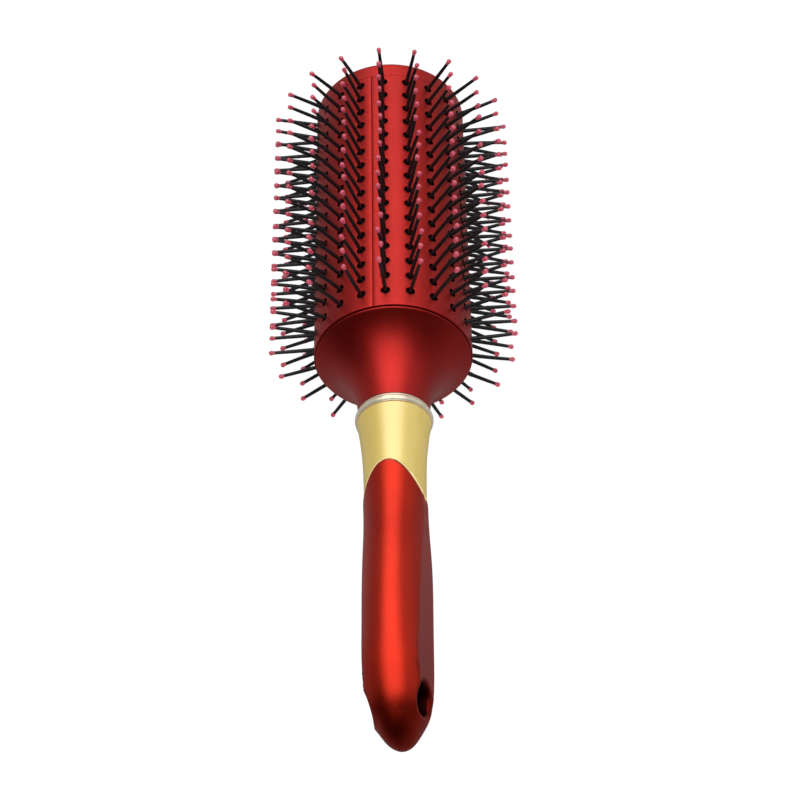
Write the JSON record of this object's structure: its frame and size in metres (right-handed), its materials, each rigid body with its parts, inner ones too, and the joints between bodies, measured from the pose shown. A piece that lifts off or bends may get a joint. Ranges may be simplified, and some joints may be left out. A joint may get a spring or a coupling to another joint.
{
  "type": "round hair brush",
  "caption": "Round hair styling brush: two-shell barrel with ball-tipped nylon pins on strips, trumpet shoulder, collar ring, gold neck and a moulded grip with a hang hole.",
  "frame": {"origin": "centre of the flat end face of the head, on the barrel axis", "axes": "+Y along the brush axis out of the head end, handle towards -Y; +Z out of the front of the handle; X along the hang hole"},
  "size_m": [0.0752, 0.2448, 0.0752],
  "materials": {
    "barrel_red": "metallic red lacquer, satin gloss",
    "grip_red": "metallic red, satin gloss",
    "gold_paint": "metallic gold lacquer, satin",
    "collar_gold": "polished pale gold plating",
    "pin_black": "moulded black nylon",
    "tip_pink": "glossy pink bead",
    "tube_natural": "moulded, unpainted",
    "screw_steel": "zinc plated"
  },
  "bodies": {
    "root": {"barrel_shell_right": "barrel_red", "barrel_shell_left": "barrel_red", "head_end_cap": "barrel_red", "neck_shoulder": "barrel_red", "strip_lock_tube": "tube_natural", "pin_strip_01": "pin_black", "pin_strip_02": "pin_black", "pin_strip_03": "pin_black", "pin_strip_04": "pin_black", "pin_strip_05": "pin_black", "pin_strip_06": "pin_black", "pin_strip_07": "pin_black", "pin_strip_08": "pin_black", "pin_strip_09": "pin_black", "pin_strip_10": "pin_black", "pin_strip_11": "pin_black", "pin_strip_12": "pin_black", "pin_strip_13": "pin_black", "pin_strip_14": "pin_black", "pin_strip_15": "pin_black", "pin_strip_16": "pin_black", "pin_strip_17": "pin_black", "pin_strip_18": "pin_black", "pin_strip_19": "pin_black", "pin_strip_20": "pin_black", "pin_tips_01": "tip_pink", "pin_tips_02": "tip_pink", "pin_tips_03": "tip_pink", "pin_tips_04": "tip_pink", "pin_tips_05": "tip_pink", "pin_tips_06": "tip_pink", "pin_tips_07": "tip_pink", "pin_tips_08": "tip_pink", "pin_tips_09": "tip_pink", "pin_tips_10": "tip_pink", "pin_tips_11": "tip_pink", "pin_tips_12": "tip_pink", "pin_tips_13": "tip_pink", "pin_tips_14": "tip_pink", "pin_tips_15": "tip_pink", "pin_tips_16": "tip_pink", "pin_tips_17": "tip_pink", "pin_tips_18": "tip_pink", "pin_tips_19": "tip_pink", "pin_tips_20": "tip_pink", "collar_ring": "collar_gold", "handle_core": "gold_paint", "grip_overmould": "grip_red", "handle_screw": "screw_steel"}
  },
  "joints": []
}
